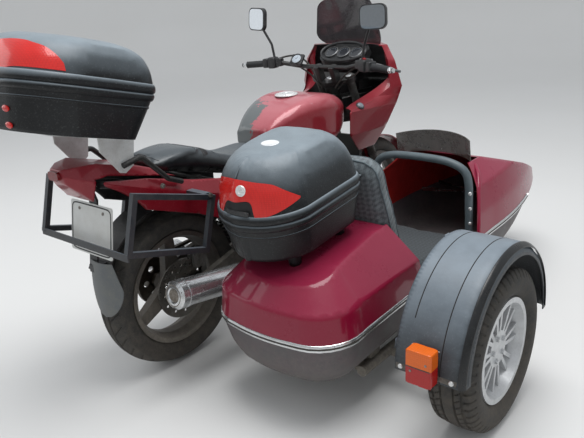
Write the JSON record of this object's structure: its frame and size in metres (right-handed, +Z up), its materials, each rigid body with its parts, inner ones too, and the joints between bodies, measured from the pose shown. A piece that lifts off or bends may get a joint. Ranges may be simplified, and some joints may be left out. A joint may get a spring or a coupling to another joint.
{
  "type": "motorcycle with sidecar",
  "caption": "Sport touring motorcycle with half fairing and top case, rigidly joined to a right-hand sidecar with its own wheel, seat and luggage case.",
  "frame": {"origin": "bottom centre of the whole vehicle's box, on the ground", "axes": "+X to the vehicle's right, +Y forward, +Z up"},
  "size_m": [1.7353, 2.5437, 1.372],
  "materials": {
    "wine_red_paint": "gloss, weathered",
    "burgundy_paint": "gloss",
    "grey_hull_paint": "worn satin",
    "black_paint": "satin",
    "cast_alloy": "cast",
    "bare_alloy_plate": "matt",
    "radiator_core": "fins",
    "chrome_plate": "polished, dull in places",
    "oiled_steel": "oily",
    "brake_steel": "turned",
    "fork_steel": "hard chromed",
    "chassis_steel": "painted, rust at the ends",
    "dark_wheel_paint": "dull",
    "silver_wheel_paint": "satin",
    "tyre_rubber": "matt",
    "seat_vinyl": "grained",
    "red_lens": "clear moulded",
    "clear_lens": "clear",
    "plate_white": "reflective",
    "satin_black_plastic": "grained",
    "smoked_screen": "smoked",
    "houndstooth_cloth": "woven check",
    "grey_padded_vinyl": "padded"
  },
  "bodies": {
    "vehicle": {"bike_frame": "black_paint", "seat_subframe": "black_paint", "engine": "cast_alloy", "radiator": "radiator_core", "exhaust_pipes": "chrome_plate", "mufflers": "chrome_plate", "swingarm": "cast_alloy", "drive_chain": "oiled_steel", "rear_brake_caliper": "cast_alloy", "footrest_hangers": "cast_alloy", "fuel_tank": "wine_red_paint", "tail_fairing": "wine_red_paint", "front_fairing": "wine_red_paint", "seat": "seat_vinyl", "tail_light": "red_lens", "rear_mudguard": "satin_black_plastic", "rear_mudflap": "satin_black_plastic", "number_plate": "plate_white", "pannier_frame": "black_paint", "luggage_rack": "bare_alloy_plate", "grab_rails": "black_paint", "top_case_base": "satin_black_plastic", "windscreen": "smoked_screen", "headlight": "clear_lens", "instrument_panel": "satin_black_plastic", "sidecar_chassis": "chassis_steel", "sidecar_struts": "chassis_steel", "sidecar_body": "burgundy_paint", "sidecar_hull": "grey_hull_paint", "sidecar_backrest": "houndstooth_cloth", "sidecar_cushion": "houndstooth_cloth", "sidecar_hoop": "grey_padded_vinyl", "sidecar_screen": "smoked_screen", "sidecar_mudguard": "satin_black_plastic", "sidecar_tail_lamp": "red_lens", "side_case_base": "satin_black_plastic"},
    "steering": {"front_fork": "fork_steel", "fork_yokes": "black_paint", "handlebar": "black_paint", "mirrors": "satin_black_plastic", "front_mudguard": "wine_red_paint"},
    "front_wheel_set": {"front_wheel": "dark_wheel_paint", "front_tyre": "tyre_rubber", "front_brake_discs": "brake_steel"},
    "rear_wheel_set": {"rear_wheel": "dark_wheel_paint", "rear_tyre": "tyre_rubber", "rear_brake_disc": "brake_steel", "rear_sprocket": "oiled_steel"},
    "sidecar_wheel_set": {"sidecar_wheel": "silver_wheel_paint", "sidecar_tyre": "tyre_rubber"},
    "top_case_cover": {"top_case_lid": "satin_black_plastic"},
    "side_case_cover": {"side_case_lid": "satin_black_plastic"}
  },
  "joints": [
    {"name": "steering_turn", "type": "hinge", "parent": "vehicle", "child": "steering", "pos_m": [-0.415, 0.484, 0.9], "axis": [0, -0.4226, 0.9063], "range_deg": [-30, 30]},
    {"name": "front_wheel_spin", "type": "hinge", "parent": "steering", "child": "front_wheel_set", "pos_m": [-0.415, 0.7987, 0.317], "axis": [1, 0, 0], "continuous": true},
    {"name": "rear_wheel_spin", "type": "hinge", "parent": "vehicle", "child": "rear_wheel_set", "pos_m": [-0.415, -0.6763, 0.32], "axis": [1, 0, 0], "continuous": true},
    {"name": "sidecar_wheel_spin", "type": "hinge", "parent": "vehicle", "child": "sidecar_wheel_set", "pos_m": [0.785, -0.3583, 0.279], "axis": [1, 0, 0], "continuous": true},
    {"name": "top_case_lid_hinge", "type": "hinge", "parent": "vehicle", "child": "top_case_cover", "pos_m": [-0.415, -0.8255, 1.1161], "axis": [-1, 0, 0], "range_deg": [0, 75]},
    {"name": "side_case_lid_hinge", "type": "hinge", "parent": "vehicle", "child": "side_case_cover", "pos_m": [0.137, -0.3504, 0.7881], "axis": [-1, 0, 0], "range_deg": [0, 30]}
  ]
}
